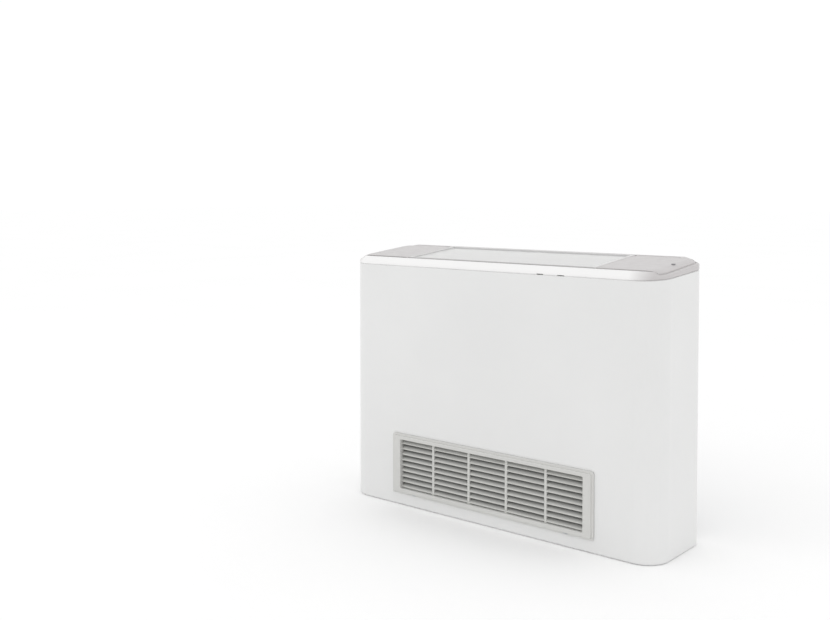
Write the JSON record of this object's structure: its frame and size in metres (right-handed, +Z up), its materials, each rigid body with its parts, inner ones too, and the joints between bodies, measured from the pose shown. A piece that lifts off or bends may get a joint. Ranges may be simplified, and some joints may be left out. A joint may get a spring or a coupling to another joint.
{
  "type": "fan coil unit",
  "caption": "Floor-standing cased fan coil unit: white sheet casing with rounded ends, sloping louvred top with access lids, slatted intake grille low on the front.",
  "frame": {"origin": "middle of the footprint at floor level", "axes": "+X along the width towards the water connections, the front faces -Y, +Z up"},
  "size_m": [0.8, 0.22, 0.5876],
  "materials": {
    "casing_paint": "satin",
    "cap_plastic": "satin",
    "grille_plastic": "satin",
    "zinc_sheet": "satin",
    "fastener_steel": "satin",
    "dark_plastic": "satin",
    "filter_net": "matte",
    "foam": "matte",
    "motor_paint": "satin",
    "black_rubber": "matte",
    "fin_aluminium": "satin",
    "copper": "satin",
    "brass": "satin"
  },
  "bodies": {
    "cabinet": {"front_casing": "casing_paint", "top_cover": "cap_plastic", "outlet_grille": "cap_plastic", "left_end_plate": "zinc_sheet", "right_end_plate": "zinc_sheet", "back_plate": "zinc_sheet", "upper_front_plate": "zinc_sheet", "lower_front_plate": "zinc_sheet", "bottom_plate": "zinc_sheet", "fan_deck": "zinc_sheet", "left_blower_housing": "zinc_sheet", "right_blower_housing": "zinc_sheet", "motor_bracket": "zinc_sheet", "coil_end_plates": "zinc_sheet", "drain_pan": "zinc_sheet", "terminal_box": "zinc_sheet", "terminal_box_cover": "zinc_sheet", "grille_hinge_lugs": "zinc_sheet", "casing_screws": "fastener_steel", "left_lid_pin": "fastener_steel", "right_lid_pin": "fastener_steel", "grille_clips": "fastener_steel", "chassis_screws": "fastener_steel", "motor_bearings": "fastener_steel", "fan_screws": "fastener_steel", "box_screws": "fastener_steel", "terminal_block": "dark_plastic", "cable_gland": "dark_plastic", "drain_spigot": "dark_plastic", "front_insulation": "foam", "back_insulation": "foam", "pan_insulation": "foam", "motor_body": "motor_paint", "motor_cushions": "black_rubber", "pipe_grommets": "black_rubber", "motor_lead": "black_rubber", "coil_fins": "fin_aluminium", "motor_capacitor": "fin_aluminium", "coil_tubes": "copper", "supply_header": "copper", "return_header": "copper", "supply_socket": "brass", "return_socket": "brass", "air_vent_body": "brass"},
    "intake_door": {"intake_grille": "grille_plastic", "grille_hinge_pins": "fastener_steel"},
    "filter": {"filter_frame": "dark_plastic", "filter_mesh": "filter_net"},
    "left_access_lid": {"left_lid": "cap_plastic"},
    "right_access_lid": {"right_lid": "cap_plastic"},
    "lid_lock": {"right_lid_lock": "fastener_steel"},
    "fan_rotor": {"motor_shaft": "fastener_steel", "left_blower_wheel": "dark_plastic", "right_blower_wheel": "dark_plastic"},
    "bleed_screw_body": {"bleed_screw": "fastener_steel"}
  },
  "joints": [
    {"name": "fan_spin", "type": "hinge", "parent": "cabinet", "child": "fan_rotor", "pos_m": [0, 0.012, 0.13], "axis": [1, 0, 0], "continuous": true},
    {"name": "intake_grille_hinge", "type": "hinge", "parent": "cabinet", "child": "intake_door", "pos_m": [0, -0.1066, 0.0295], "axis": [1, 0, 0], "range_deg": [0, 85]},
    {"name": "filter_slide", "type": "slide", "parent": "intake_door", "child": "filter", "axis": [0, 0, 1], "range_m": [0, 0.115]},
    {"name": "left_lid_hinge", "type": "hinge", "parent": "cabinet", "child": "left_access_lid", "pos_m": [-0.3, 0.08537, 0.58331], "axis": [-1, 0, 0], "range_deg": [0, 95]},
    {"name": "right_lid_hinge", "type": "hinge", "parent": "cabinet", "child": "right_access_lid", "pos_m": [0.3, 0.08537, 0.58331], "axis": [-1, 0, 0], "range_deg": [0, 95]},
    {"name": "lid_lock_turn", "type": "hinge", "parent": "right_access_lid", "child": "lid_lock", "pos_m": [0.378, 0.00147, 0.5781], "axis": [0, 0.1, -0.995], "range_deg": [0, 90]},
    {"name": "bleed_screw_turn", "type": "hinge", "parent": "cabinet", "child": "bleed_screw_body", "pos_m": [0.297, 0.00711, 0.5241], "axis": [0, -0.9285, 0.3714], "range_deg": [0, 360]}
  ]
}
